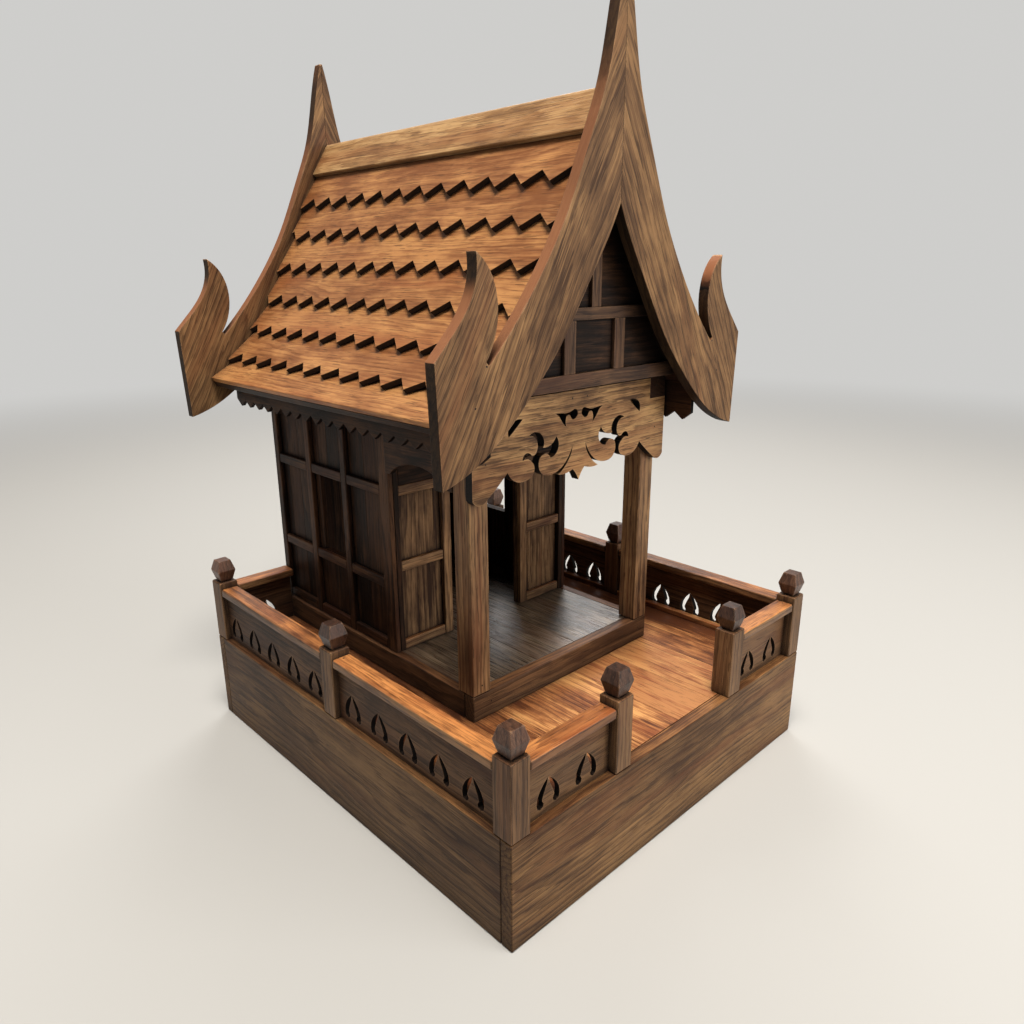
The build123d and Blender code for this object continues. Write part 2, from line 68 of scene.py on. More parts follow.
teakFinishes = {
    "base_teak": dict(dark=(66, 43, 26), mid=(110, 80, 51), light=(150, 113, 73), flush=(108, 66, 40),
                      grimeAndShade=(24, 17, 13), vary=0.02, pores=0.45, gloss=0.40, shine=0.14, wear=0.45,
                      shadeAndSoil=0.9),
    # base_teak darkened to paint the shade on the side boards
    "base_shaded_teak": dict(dark=(52, 34, 22), mid=(90, 66, 44), light=(126, 96, 64), flush=(88, 55, 34),
                           grimeAndShade=(20, 14, 11), vary=0.02, gloss=0.40, shine=0.14, wear=0.45, shadeAndSoil=0.9),
    "deck_teak": dict(dark=(90, 50, 28), mid=(154, 97, 56), light=(212, 154, 94), flush=(126, 59, 33),
                      grimeAndShade=(30, 19, 13), worn=(200, 152, 106), coarse=0.9, vary=0.20, patches=0.9,
                      gloss=0.42, shine=0.16, wear=0.3, shadeAndSoil=0.9, paintedSun=0.0),
    "rail_teak": dict(dark=(64, 41, 26), mid=(106, 75, 49), light=(146, 108, 70), flush=(114, 68, 41),
                      worn=(196, 152, 108), patches=0.8, gloss=0.30, shine=0.32, wear=0.75, paintedSun=0.85),
    "fence_teak": dict(dark=(70, 49, 34), mid=(104, 76, 52), light=(138, 104, 71), flush=(106, 64, 41),
                       worn=(184, 144, 106), wear=0.9, shadeAndSoil=1.3),
    # fence_teak darkened to paint the shade on the side and back panels
    "fence_shaded_teak": dict(dark=(40, 27, 20), mid=(72, 51, 36), light=(108, 79, 55),
                            flush=(78, 47, 32), worn=(160, 122, 90), patches=0.7, shine=0.14),
    "finial_teak": dict(dark=(42, 27, 20), mid=(72, 48, 36), light=(106, 75, 56), flush=(84, 48, 33),
                        coarse=1.2, pores=0.3, gloss=0.28, shine=0.36, wear=1.0, shadeAndSoil=0.85, paintedSun=0.2),
    # floor_teak's grey tint is a painted sheen of reflected sky on the darker brown wood
    "floor_teak": dict(dark=(54, 42, 33), mid=(98, 80, 62), light=(144, 121, 96), flush=(94, 66, 49),
                       grimeAndShade=(26, 20, 16), vary=0.12, patches=0.8, gloss=0.20, shine=0.9, wear=0.25,
                       shadeAndSoil=0.75, paintedSun=0.0),
    # wall_teak and shade_teak are darkened to paint the shade under the eaves and the roof: on walls,
    # gables, frames, plates and aprons
    "wall_teak": dict(dark=(24, 16, 12), mid=(46, 31, 22), light=(78, 53, 36), flush=(54, 31, 21),
                      grimeAndShade=(9, 7, 6), worn=(112, 82, 60), vary=0.08, patches=0.9, shine=0.10, wear=0.3,
                      shadeAndSoil=1.2),
    "shade_teak": dict(dark=(26, 17, 12), mid=(54, 35, 24), light=(92, 63, 42), flush=(66, 37, 25),
                       grimeAndShade=(9, 7, 6), worn=(128, 92, 66), patches=0.9, shine=0.12, paintedSun=0.2),
    "panel_teak": dict(dark=(54, 37, 27), mid=(102, 77, 55), light=(146, 112, 79), flush=(100, 63, 44),
                       worn=(140, 108, 80), vary=0.08, patches=0.8, shine=0.12, wear=0.3, shadeAndSoil=1.3),
    "frame_teak": dict(dark=(46, 30, 21), mid=(82, 58, 41), light=(122, 90, 61), flush=(88, 52, 35)),
    "post_teak": dict(dark=(58, 38, 26), mid=(114, 84, 58), light=(166, 128, 88), flush=(116, 68, 43),
                      pores=0.6),
    # The carved wood lightened to paint light on the fretwork under the roof's overhang
    "fret_lit_teak": dict(dark=(82, 56, 35), mid=(146, 109, 71), light=(192, 150, 99), flush=(138, 86, 52),
                      worn=(196, 160, 122), vary=0.0, patches=0.8, pores=0.6, gloss=0.40, shadeAndSoil=0.75),
    # carved_teak's edge colour is a painted lit red on sawn edges that look up
    "carved_teak": dict(dark=(72, 50, 33), mid=(112, 82, 55), light=(154, 117, 78), flush=(116, 72, 45),
                        grimeAndShade=(9, 7, 6), edge=(142, 92, 62), worn=(196, 158, 122), patches=0.6,
                        shine=0.14, wear=0.9, shadeAndSoil=0.9),
    "plug_teak": dict(dark=(18, 13, 10), mid=(30, 21, 16), light=(44, 32, 25), flush=(34, 22, 17),
                      pores=0.0, wear=0.0, shadeAndSoil=0.0, paintedSun=0.0),
    "roof_teak": dict(dark=(122, 74, 40), mid=(152, 101, 60), light=(186, 132, 80), flush=(148, 84, 46),
                      grimeAndShade=(14, 10, 8), worn=(204, 156, 110), coarse=0.8, vary=0.10, patches=0.9,
                      gloss=0.36, paintedSun=0.0),
    "cap_teak": dict(dark=(108, 75, 45), mid=(150, 111, 70), light=(188, 149, 101), flush=(142, 92, 55),
                     worn=(206, 166, 122), vary=0.02, patches=0.8, shadeAndSoil=0.9, paintedSun=0.0),
}


# A shader node with its settings and inputs; an input that is a socket is linked
def put(tree, kind, inputs=(), **settings):
    made = tree.nodes.new("ShaderNode" + kind)
    for name, value in settings.items():
        setattr(made, name, value)
    for name, value in dict(inputs).items():
        if isinstance(value, bpy.types.NodeSocket):
            tree.links.new(value, made.inputs[name])
        else:
            made.inputs[name].default_value = value
    return made


def calc(tree, operation, a, b=0.0, clamp=False):
    return put(tree, "Math", {0: a, 1: b}, operation=operation, use_clamp=clamp).outputs[0]


def times(tree, a, b):
    return calc(tree, "MULTIPLY", a, b)


def total(tree, first, *others):
    for other in others:
        first = calc(tree, "ADD", first, other)
    return first


def stretched(tree, vector, x, y, z):
    return put(tree, "VectorMath", {0: vector, 1: (x, y, z)}, operation="MULTIPLY").outputs[0]


def moved(tree, vector, push, operation="ADD"):
    return put(tree, "VectorMath", {0: vector, 1: push}, operation=operation).outputs[0]


# A value between two bounds mapped to 0..1 with soft ends
def ramp(tree, value, low, high):
    inputs = {"Value": value, "From Min": low, "From Max": high}
    return put(tree, "MapRange", inputs, interpolation_type="SMOOTHSTEP").outputs["Result"]


# A cloud's swing about its middle value, times an amount
def swing(tree, value, amount):
    return times(tree, calc(tree, "SUBTRACT", value, 0.5), amount)


def blend(tree, factor, a, b, kind="MIX"):
    made = put(tree, "Mix", data_type="RGBA", clamp_factor=True, blend_type=kind)
    for socket, value in zip((made.inputs[0], made.inputs[6], made.inputs[7]), (factor, a, b)):
        if isinstance(value, bpy.types.NodeSocket):
            tree.links.new(value, socket)
        else:
            socket.default_value = value
    return made.outputs[2]


# Teak. "grain" holds each point's place in its own board, in metres: along the fibres, across the
# board, into the board, with the heart of the log some way off. Growth rings are lines of equal
# distance from that heart, bent by slow clouds: each ring darkens slowly and ends in a thin line.
# Streaks and fibres are clouds stretched along the board, mottle the patches that stain makes, and
# pores short dark dashes. The sum of these picks a colour between dark, mid and light.

# For each cloud: how often it swings in a metre along and across the fibres, detail and roughness
woodClouds = dict(drift=(6, 24, 3.0, 0.5), mottle=(24, 55, 4.0, 0.6), zones=(7, 17, 2.0, 0.5),
                  heartwood=(5, 52, 2.0, 0.5), streaks=(4.5, 400, 3.0, 0.6),
                  fibres=(17, 1150, 3.0, 0.65), pores=(62, 1150, 1.0, 0.5))

# How far in metres the slow cloud bends rings and streaks, the rings in a metre and how far streaks
# shift them, and where in a ring it darkens and ends
rings = dict(bend=0.022, streakBend=0.007, number=260, shift=1.3, darkens=(0.45, 0.93),
             ends=(1.0, 0.94))

# Weights of the parts of the figure, their middle, and where dark, mid and light lie on their sum
figureMix = dict(streaks=0.32, zones=0.50, fibres=0.56, rings=-0.15, middle=0.55,
                 dark=0.32, mid=0.50, light=0.70, heartwood=(0.48, 0.70), heartwoodShare=0.5,
                 heartwoodVary=2.2, pores=(0.60, 0.655), poreShade=0.55)

# Reaches in millimetres, the bounds between which painted sunlight on faces that look up, wear, dirt
# with painted shade in sheltered places, and the dark of joints, partly painted contact shade, set in,
# and how much the mottle breaks up their outlines
weather = dict(paintedSunMask=(0.45, 0.9), paintedSunTint=(2.25, 1.70, 1.22, 1.0), upward=(0.15, 0.5),
               wearReach=1.8, wearMottle=1.1, wear=(0.32, 0.75),
               shadeReach=30, shadeMottle=0.8, shadeAndSoil=(0.22, 0.95),
               jointReach=5, joint=(0.85, 0.35), jointShare=0.75)

# What adds to the roughness, and the heights of the relief with its strength and its depth in
# millimetres
lacquer = dict(fibres=0.16, shadeAndSoil=0.25, cut=0.2)
relief = dict(streaks=0.8, pores=-0.4, fibres=0.5, mottle=1.6, strength=0.5, depth=0.35)


def cloud(tree, vector, kind, coarse=1.0, output="Fac"):
    along, across, detail, roughness = woodClouds[kind]
    place = stretched(tree, vector, along, across / coarse, across / coarse)
    inputs = {"Vector": place, "Scale": 1.0, "Detail": detail, "Roughness": roughness}
    return put(tree, "TexNoise", inputs).outputs[output]


# The clouds of a board and its rings
def makeWood(tree, coarse):
    grain = put(tree, "Attribute", attribute_name="grain").outputs["Vector"]
    drift = moved(tree, cloud(tree, grain, "drift", output="Color"), (0.5, 0.5, 0.5), "SUBTRACT")
    bent = moved(tree, grain, stretched(tree, drift, 0.0, rings["bend"], rings["bend"]))
    eased = moved(tree, grain, stretched(tree, drift, 0.0, rings["streakBend"], rings["streakBend"]))
    fromHeart = stretched(tree, bent, 0, 1, 1)
    heart = put(tree, "VectorMath", {0: fromHeart}, operation="LENGTH").outputs["Value"]
    streaks = cloud(tree, eased, "streaks", coarse)
    age = times(tree, heart, rings["number"] / coarse)
    age = total(tree, age, times(tree, streaks, rings["shift"]))
    season = calc(tree, "FRACT", age)
    ring = times(tree, ramp(tree, season, *rings["darkens"]), ramp(tree, season, *rings["ends"]))
    pores = ramp(tree, cloud(tree, eased, "pores"), *figureMix["pores"])
    return dict(mottle=cloud(tree, grain, "mottle"), zones=cloud(tree, grain, "zones"), streaks=streaks,
                fibres=cloud(tree, eased, "fibres"), rings=ring, pores=pores,
                heartwood=cloud(tree, bent, "heartwood"))


# Figure, heartwood and the open pores, which drink the stain
def figured(tree, look, wood):
    tone = put(tree, "Attribute", attribute_name="tone").outputs["Fac"]
    swings = [swing(tree, wood[part], figureMix[part]) for part in ("streaks", "zones", "fibres")]
    figure = total(tree, swing(tree, wood["mottle"], look["patches"]), *swings,
                   times(tree, tone, look["vary"]), times(tree, wood["rings"], figureMix["rings"]),
                   figureMix["middle"])
    colour = put(tree, "ValToRGB", {0: figure})
    stops = colour.color_ramp.elements
    stops[0].position, stops[0].color = figureMix["dark"], paint(*look["dark"])
    stops[1].position, stops[1].color = figureMix["light"], paint(*look["light"])
    stops.new(figureMix["mid"]).color = paint(*look["mid"])
    flush = total(tree, wood["heartwood"], times(tree, tone, figureMix["heartwoodVary"] * look["vary"]))
    flush = times(tree, ramp(tree, flush, *figureMix["heartwood"]), figureMix["heartwoodShare"])
    colour = blend(tree, flush, colour.outputs["Color"], paint(*look["flush"]))
    poreColour = paint(*[figureMix["poreShade"] * part for part in look["dark"]])
    return blend(tree, times(tree, wood["pores"], look["pores"]), colour, poreColour)


# How much surface there is within a reach in millimetres: 1 in the open, less where it is near
def openness(tree, reach, samples, inside=False):
    made = put(tree, "AmbientOcclusion", {"Distance": reach * mm}, samples=samples, inside=inside)
    return made.outputs["AO"]


# Faces that look up are lightened: painted sunlight. Sawn edges and end grain darken: end grain with
# stain, deep sawn edges with stain and painted shade, darkest where they look down or aside; those that
# look up take the edge colour, a painted lit colour. Arrises are worn: seen from inside the wood, there
# is little of it near an edge.
def paintedLightAndWear(tree, look, wood, cut, colour):
    facing = put(tree, "SeparateXYZ", {0: put(tree, "NewGeometry").outputs["Normal"]}).outputs[2]
    # Painted sunlight: faces that look up are lightened and warmed
    paintedSunMask = times(tree, ramp(tree, facing, *weather["paintedSunMask"]), look["paintedSun"])
    colour = blend(tree, paintedSunMask, colour, weather["paintedSunTint"], "MULTIPLY")
    upward = ramp(tree, facing, *weather["upward"])
    sawn = blend(tree, upward, paint(*look["grimeAndShade"]), paint(*look["edge"]))
    colour = blend(tree, cut, colour, sawn)
    rubbed = calc(tree, "SUBTRACT", 1.0, openness(tree, weather["wearReach"], 4, True))
    rubbed = total(tree, rubbed, swing(tree, wood["mottle"], weather["wearMottle"]))
    rubbed = times(tree, ramp(tree, rubbed, *weather["wear"]), look["wear"])
    spared = times(tree, cut, calc(tree, "SUBTRACT", 1.0, upward))
    rubbed = times(tree, rubbed, calc(tree, "SUBTRACT", 1.0, spared, clamp=True))
    return blend(tree, rubbed, colour, paint(*look["worn"]))


# Dirt and painted shade: a wide soft painted shade with some dirt where boards shelter each other,
# and a narrow dark in the joints, partly dirt and partly painted contact shade
def paintedShadeAndSoil(tree, look, wood):
    wide = calc(tree, "SUBTRACT", 1.0, openness(tree, weather["shadeReach"], 3))
    shadeAndSoil = total(tree, wide, swing(tree, wood["mottle"], weather["shadeMottle"]))
    tight = ramp(tree, openness(tree, weather["jointReach"], 3), *weather["joint"])
    joint = times(tree, tight, weather["jointShare"])
    shadeAndSoil = calc(tree, "MAXIMUM", ramp(tree, shadeAndSoil, *weather["shadeAndSoil"]), joint)
    return times(tree, shadeAndSoil, look["shadeAndSoil"])


def teak(name, look):
    material = bpy.data.materials.new(name)
    material.use_nodes = True
    tree = material.node_tree
    tree.nodes.clear()
    look = {**commonLook, **look}
    cut = put(tree, "Attribute", attribute_name="cut").outputs["Fac"]
    wood = makeWood(tree, look["coarse"])
    shadeAndSoil = paintedShadeAndSoil(tree, look, wood)
    colour = paintedLightAndWear(tree, look, wood, cut, figured(tree, look, wood))
    # Dirt and painted shade darken sheltered places and joints
    colour = blend(tree, shadeAndSoil, colour, paint(*look["grimeAndShade"]))
    gloss = total(tree, look["gloss"], times(tree, wood["fibres"], lacquer["fibres"]),
                  times(tree, shadeAndSoil, lacquer["shadeAndSoil"]))
    gloss = calc(tree, "ADD", gloss, times(tree, cut, lacquer["cut"]), clamp=True)
    height = total(tree, *(times(tree, wood[part], relief[part])
                           for part in ("streaks", "pores", "fibres", "mottle")))
    bump = put(tree, "Bump", {"Height": height, "Strength": relief["strength"],
                              "Distance": relief["depth"] * mm})
    surface = put(tree, "BsdfPrincipled", {"Base Color": colour, "Roughness": gloss, "IOR": 1.5,
                                           "Normal": bump.outputs["Normal"],
                                           "Specular IOR Level": look["shine"]})
    put(tree, "OutputMaterial", {"Surface": surface.outputs[0]})
    return material


finishes = {name: teak(name, look) for name, look in teakFinishes.items()}
print("finishes made")


# Labels the connected solids of a mesh: every edge hands the lower label to both its ends
def solidLabels(mesh):
    ends = np.empty(len(mesh.edges) * 2, np.int32)
    mesh.edges.foreach_get("vertices", ends)
    a, b = ends.reshape(-1, 2).T
    labels = np.arange(len(mesh.vertices))
    while True:
        lower = np.minimum(labels[a], labels[b])
        after = labels.copy()
        np.minimum.at(after, a, lower)
        np.minimum.at(after, b, lower)
        after = after[after]
        if np.array_equal(after, labels):
            return np.unique(labels, return_inverse=True)[1].reshape(-1)
        labels = after


# A board's random place in its log, in metres: along it, to the side of the heart and away from it;
# how nearly a face looks along the board or across it to be end grain or a sawn edge; and how dark
# end grain is
sawing = dict(reach=3, aside=0.035, away=(0.012, 0.06), end=0.6, edge=0.5, endDark=0.35)


# Writes grain, tone and cut. For each solid the widths of its cloud of points give its length and
# its thickness; fibres run along the length unless a direction is given. A point's grain is its
# place from the middle of its solid, on those axes, plus a random place in the log.
def writeGrain(piece, along=None, cutDark=0.0):
    mesh = piece.data
    labels = solidLabels(mesh)
    count = labels.max() + 1
    points = np.empty(len(mesh.vertices) * 3)
    mesh.vertices.foreach_get("co", points)
    points = points.reshape(-1, 3)
    sums = np.zeros((count, 3))
    np.add.at(sums, labels, points)
    sizes = np.bincount(labels, minlength=count)
    rel = points - (sums / sizes[:, None])[labels]
    spread = np.zeros((count, 3, 3))
    np.add.at(spread, labels, rel[:, :, None] * rel[:, None, :])
    axes = np.linalg.eigh(spread)[1]  # columns: thickness, width, length
    thick = axes[:, :, 0]
    length = axes[:, :, 2]
    if along is not None:
        length = np.tile(np.array(along, float) / np.linalg.norm(along), (count, 1))
        thick = thick - (thick * length).sum(1, keepdims=True) * length
        thick /= np.maximum(np.linalg.norm(thick, axis=1, keepdims=True), 1e-6)
    width = np.cross(thick, length)
    frameOf = np.stack([length, width, thick], 1)
    reach, aside = sawing["reach"], sawing["aside"]
    log = np.stack([dice.uniform(-reach, reach, count), dice.uniform(-aside, aside, count),
                    dice.uniform(*sawing["away"], count)], 1)
    grain = np.einsum("nij,nj->ni", frameOf[labels], rel) + log[labels]
    tone = dice.uniform(-1, 1, count)[labels]
    mesh.attributes.new("grain", "FLOAT_VECTOR", "POINT").data.foreach_set("vector", grain.ravel())
    mesh.attributes.new("tone", "FLOAT", "POINT").data.foreach_set("value", tone)
    normals = np.empty(len(mesh.polygons) * 3)
    mesh.polygons.foreach_get("normal", normals)
    normals = normals.reshape(-1, 3)
    firsts = np.empty(len(mesh.polygons), np.int32)
    mesh.polygons.foreach_get("loop_start", firsts)
    corners = np.empty(len(mesh.loops), np.int32)
    mesh.loops.foreach_get("vertex_index", corners)
    owner = labels[corners[firsts]]
    onEnd = np.abs((normals * length[owner]).sum(1)) > sawing["end"]
    onEdge = np.abs((normals * thick[owner]).sum(1)) < sawing["edge"]
    # End grain is darkened as stain; sawn edges by cutDark, stain with painted shade where they lie
    # deep
    cut = np.where(onEnd, sawing["endDark"], 0.0) + np.where(onEdge, cutDark, 0.0)
    mesh.attributes.new("cut", "FLOAT", "FACE").data.foreach_set("value", np.minimum(cut, 1.0))


# Smooth shading in which the large faces stay flat: a corner's normal is the mean of the faces
# around it, weighted by their area squared
def flattenShading(mesh):
    normals = np.empty(len(mesh.polygons) * 3)
    mesh.polygons.foreach_get("normal", normals)
    normals = normals.reshape(-1, 3)
    areas = np.empty(len(mesh.polygons))
    mesh.polygons.foreach_get("area", areas)
    totals = np.empty(len(mesh.polygons), np.int32)
    mesh.polygons.foreach_get("loop_total", totals)
    corners = np.empty(len(mesh.loops), np.int32)
    mesh.loops.foreach_get("vertex_index", corners)
    faceOfCorner = np.repeat(np.arange(len(totals)), totals)
    mean = np.zeros((len(mesh.vertices), 3))
    weight = (areas / mm ** 2) ** 2
    np.add.at(mean, corners, normals[faceOfCorner] * weight[faceOfCorner, None])
    mean /= np.maximum(np.linalg.norm(mean, axis=1, keepdims=True), 1e-12)
    mesh.polygons.foreach_set("use_smooth", np.ones(len(mesh.polygons), bool))
    mesh.normals_split_custom_set_from_vertices(mean)


# Links a finished mesh as a piece of the one body, in place of the nodes that it stands for
def asPiece(mesh, name, slot, replaces=(), along=None, cutDark=0.0, finish=None):
    piece = bpy.data.objects.new(name, mesh)
    bpy.context.scene.collection.objects.link(piece)
    mesh.update()
    writeGrain(piece, along, cutDark)
    flattenShading(mesh)
    mesh.materials.append(finishes[finish or slot])
    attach(piece, "root")
    if replaces:
        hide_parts(*replaces)


# The 24 corners of an eased box: every face keeps its four corners, pulled in from its edges;
# signs say which side of the middle a corner lies on, pulls which axes it is pulled in on.
# The 26 faces are the six sides, a strip along each edge and a triangle on each corner. A trial box
# shows which of them have to be turned to look outward.
def easedBoxPattern():
    signs, pulls, index = [], [], {}
    for axis in range(3):
        for corner in np.ndindex(2, 2, 2):
            sign = tuple(1 if c else -1 for c in corner)
            index[axis, sign] = len(signs)
            signs.append(sign)
            pulls.append([0 if a == axis else 1 for a in range(3)])
    faces = []
    for axis in range(3):
        b, c = [a for a in range(3) if a != axis]
        for side in (-1, 1):
            ring = []
            for u, v in ((-1, -1), (1, -1), (1, 1), (-1, 1)):
                sign = [0, 0, 0]
                sign[axis], sign[b], sign[c] = side, u, v
                ring.append(index[axis, tuple(sign)])
            faces.append(ring)
            for other in (-1, 1):  # the strip along axis, between faces b and c
                low, high = [0, 0, 0], [0, 0, 0]
                low[b] = high[b] = side
                low[c] = high[c] = other
                low[axis], high[axis] = -1, 1
                faces.append([index[b, tuple(low)], index[b, tuple(high)],
                              index[c, tuple(high)], index[c, tuple(low)]])
    for corner in np.ndindex(2, 2, 2):
        sign = tuple(1 if c else -1 for c in corner)
        faces.append([index[0, sign], index[1, sign], index[2, sign]])
    signs = np.array(signs, float)
    pulls = np.array(pulls, float)
    turned = []
    spots = signs * (1 - 0.2 * pulls)
    for face in faces:
        p = spots[face]
        outward = np.dot(np.cross(p[1] - p[0], p[2] - p[0]), p.mean(0)) > 0
        turned.append(face if outward else face[::-1])
    return signs, pulls, turned


boxSigns, boxPulls, boxFaces = easedBoxPattern()

# Easing takes at most this share of half a board's thickness. In copies, points nearer than merge
# are one, faces that differ by less than flat degrees are one, and edges above sharp degrees are
# eased; touch is how near a point is to count as on a cut. Lengths in millimetres.
easing = dict(most=0.45, merge=0.002, touch=0.001, flat=0.8, sharp=25, segments=2, profile=0.6)


# Boards given as rows of x0, x1, y0, y1, z0, z1 in millimetres, with eased edges
def boards(name, rows, slot, ease, replaces, along=None, cutDark=0.0, finish=None):
    rows = np.array(rows, float) * mm
    middle = (rows[:, 0::2] + rows[:, 1::2]) / 2
    half = (rows[:, 1::2] - rows[:, 0::2]) / 2
    pull = np.minimum(ease * mm, half.min(1) * easing["most"])
    points = middle[:, None] + boxSigns * half[:, None] - boxSigns * boxPulls * pull[:, None, None]
    faces = []
    for start in range(0, len(rows) * 24, 24):
        faces += [[start + i for i in face] for face in boxFaces]
    mesh = bpy.data.meshes.new(name)
    mesh.from_pydata(points.reshape(-1, 3), [], faces)
    asPiece(mesh, name, slot, replaces, along, cutDark, finish)


# A copy of a node's solids: its triangles merged into clean faces, cut apart on the given planes
# where boards meet, and its sharp edges eased
def easedCopy(node, slot, ease, along=None, cutDark=0.0, cuts=(), finish=None):
    source = bpy.data.objects[node]
    shape = bmesh.new()
    shape.from_mesh(source.data)
    bmesh.ops.remove_doubles(shape, verts=shape.verts, dist=easing["merge"] * mm)
    bmesh.ops.dissolve_limit(shape, angle_limit=math.radians(easing["flat"]), verts=shape.verts,
                             edges=shape.edges)
    for spot, normal in cuts:
        parts = shape.verts[:] + shape.edges[:] + shape.faces[:]
        made = bmesh.ops.bisect_plane(shape, geom=parts, dist=easing["touch"] * mm,
                                      plane_co=Vector(spot) * mm, plane_no=normal)
        edges = [e for e in made["geom_cut"] if isinstance(e, bmesh.types.BMEdge)]
        bmesh.ops.split_edges(shape, edges=edges)
        holes = [e for e in shape.edges if e.is_boundary]
        bmesh.ops.holes_fill(shape, edges=holes)
    limit = math.radians(easing["sharp"])
    sharp = [e for e in shape.edges if len(e.link_faces) == 2 and e.calc_face_angle(0) > limit]
    bmesh.ops.bevel(shape, geom=sharp, offset=ease * mm, offset_type="OFFSET", affect="EDGES",
                    segments=easing["segments"], profile=easing["profile"], clamp_overlap=True)
    mesh = bpy.data.meshes.new(node)
    shape.to_mesh(mesh)
    shape.free()
    asPiece(mesh, node + "_wood", slot, [node], along, cutDark, finish)


# Corners of a node's box in millimetres: x0, x1, y0, y1, z0, z1
def sizeOf(node):
    low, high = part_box(node)
    return [v / mm for pair in zip(low, high) for v in pair]


# Strips between two ends, their joints moved a little off even spacing
def strips(start, end, width, stray=0.12):
    count = max(1, round((end - start) / width))
    marks = np.linspace(start, end, count + 1)
    marks[1:-1] += dice.uniform(-stray, stray, count - 1) * width
    return list(zip(marks[:-1], marks[1:]))


# A row with its x sides swapped to the other half
def otherSide(row):
    return [-row[1], -row[0], *row[2:]]


def bothSides(rows):
    return [list(row) for row in rows] + [otherSide(row) for row in rows]


base = dict(boardThickness=9.5, ease=0.7, deckSeams=(-122, -80, -36, 8, 51, 96, 134), deckEase=0.4)


# The outer boards reach up to the deck's surface and stand for the sills too
def makeBase():
    x0, x1, y0, y1, z0, _ = sizeOf("base_end_boards")
    z2, z1 = sizeOf("sills_ends")[4:]
    t = base["boardThickness"]
    boards("base_end_planks", [[x0, x1, y0, y0 + t, z0, z1], [x0, x1, y1 - t, y1, z0, z1]],
           "base_teak", base["ease"], ["base_end_boards", "sills_ends"])
    # The side boards take the base wood darkened as painted shade
    boards("base_side_planks", bothSides([[x0, x0 + t, y0 + t, y1 - t, z0, z1]]),
           "base_teak", base["ease"], ["base_side_boards", "sills_sides"], finish="base_shaded_teak")
    marks = [x0 + t, *base["deckSeams"], x1 - t]
    boards("deck_planks", [[a, b, y0 + t, y1 - t, z2, z1] for a, b in zip(marks, marks[1:])],
           "deck_teak", base["deckEase"], ["deck"])


makeBase()
print("base and deck")


# The back handrails end at the side walls' raised frames, wallFrame outside the wall's boards
fence = dict(postSize=16.0, gate=60.0, middlePost=-20.5, postEase=0.9, railInset=0.5, railEase=1.3,
             wallFrame=4.5, panelEase=0.35, slotShade=0.9, ledgeEase=0.8, finialEase=0.7)


def makeFence():
    x0, x1, y0, y1, z0, z1 = sizeOf("fence_posts")
    s = fence["postSize"]
    gate = -fence["gate"] - s
    corners = [(x0, y0), (x0, fence["middlePost"] - s / 2), (x0, y1 - s), (gate, y0)]
    boards("fence_post_blocks", bothSides([[x, x + s, y, y + s, z0, z1] for x, y in corners]),
           "fence_teak", fence["postEase"], ["fence_posts"])
    easedCopy("post_finials", "fence_teak", fence["finialEase"], along=(0, 0, 1), finish="finial_teak")
    r = fence["railInset"]
    bays = [(y0 + s, fence["middlePost"] - s / 2), (fence["middlePost"] + s / 2, y1 - s)]
    z0, z1 = sizeOf("handrails")[4:]
    wall = sizeOf("left_wall")[0] - fence["wallFrame"]
    rails = [[x0 + r, x0 + s - r, a, b, z0, z1] for a, b in bays]
    rails += [[x0 + s, gate, y0 + r, y0 + s - r, z0, z1], [x0 + s, wall, y1 - s + r, y1 - r, z0, z1]]
    boards("handrail_bars", bothSides(rails), "fence_teak", fence["railEase"], ["handrails"],
           finish="rail_teak")
    # Side and back panels take the fence wood darkened as painted shade
    panelFinishes = dict(sides="fence_shaded_teak", front="fence_teak", back="fence_shaded_teak")
    # Slot edges are darkened as painted shadow inside the slots
    for side, finish in panelFinishes.items():
        easedCopy("fence_panels_" + side, "fence_teak", fence["panelEase"], cutDark=fence["slotShade"],
                  finish=finish)
    easedCopy("fence_ledges", "deck_teak", fence["ledgeEase"])


makeFence()
print("fence")


platform = dict(border=10.0, seams=(-70, -26, 18, 62), ease=0.5, fasciaThickness=8.0, fasciaEase=0.9,
                floorDrop=0.2)

# Rails stand back from the stiles by railInset
walls = dict(plankWidth=19.0, plankEase=0.3, frameEase=0.8, windowLow=157.7, windowHigh=225.5,
             windowFront=66.0, windowBack=98.2, frontStile=13.0, stile=7.8, rail=8.2, railInset=0.4,
             lowRail=52.8, highRail=128.8, doorHalf=39.5, doorRail=67.3, jamb=8.5)


# Fascia boards reach up to the floor's surface and frame the planks between them
def makePlatform():
    x0, x1, y0, y1, z0, z1 = sizeOf("platform_floor")
    foot = sizeOf("platform_ends")[4]
    t = platform["fasciaThickness"]
    b = platform["border"]
    boards("platform_fascia_ends", [[x0, x1, y0, y0 + b, foot, z1], [x0, x1, y1 - t, y1, foot, z1]],
           "deck_teak", platform["fasciaEase"], ["platform_ends"], finish="frame_teak")
    boards("platform_fascia_sides", bothSides([[x0, x0 + t, y0 + b, y1 - t, foot, z1]]),
           "deck_teak", platform["fasciaEase"], ["platform_sides"], finish="frame_teak")
    marks = [x0 + t, *platform["seams"], x1 - t]
    top = z1 - platform["floorDrop"]
    boards("platform_floor_planks", [[a, c, y0 + b, y1 - t, z0, top] for a, c in zip(marks, marks[1:])],
           "deck_teak", platform["ease"], ["platform_floor"], finish="floor_teak")


# Stiles of a side wall from the porch back: a wide one, then three bays between narrow ones
def sideStiles(y0, y1):
    wide, narrow = walls["frontStile"], walls["stile"]
    bay = (y1 - y0 - wide - 3 * narrow) / 3
    first = y0 + wide + bay
    second = first + narrow + bay
    return [(y0, y0 + wide), (first, first + narrow), (second, second + narrow), (y1 - narrow, y1)]


def railStarts(z0, z1):
    return [z0, z0 + walls["lowRail"], z0 + walls["highRail"], z1 - walls["rail"]]


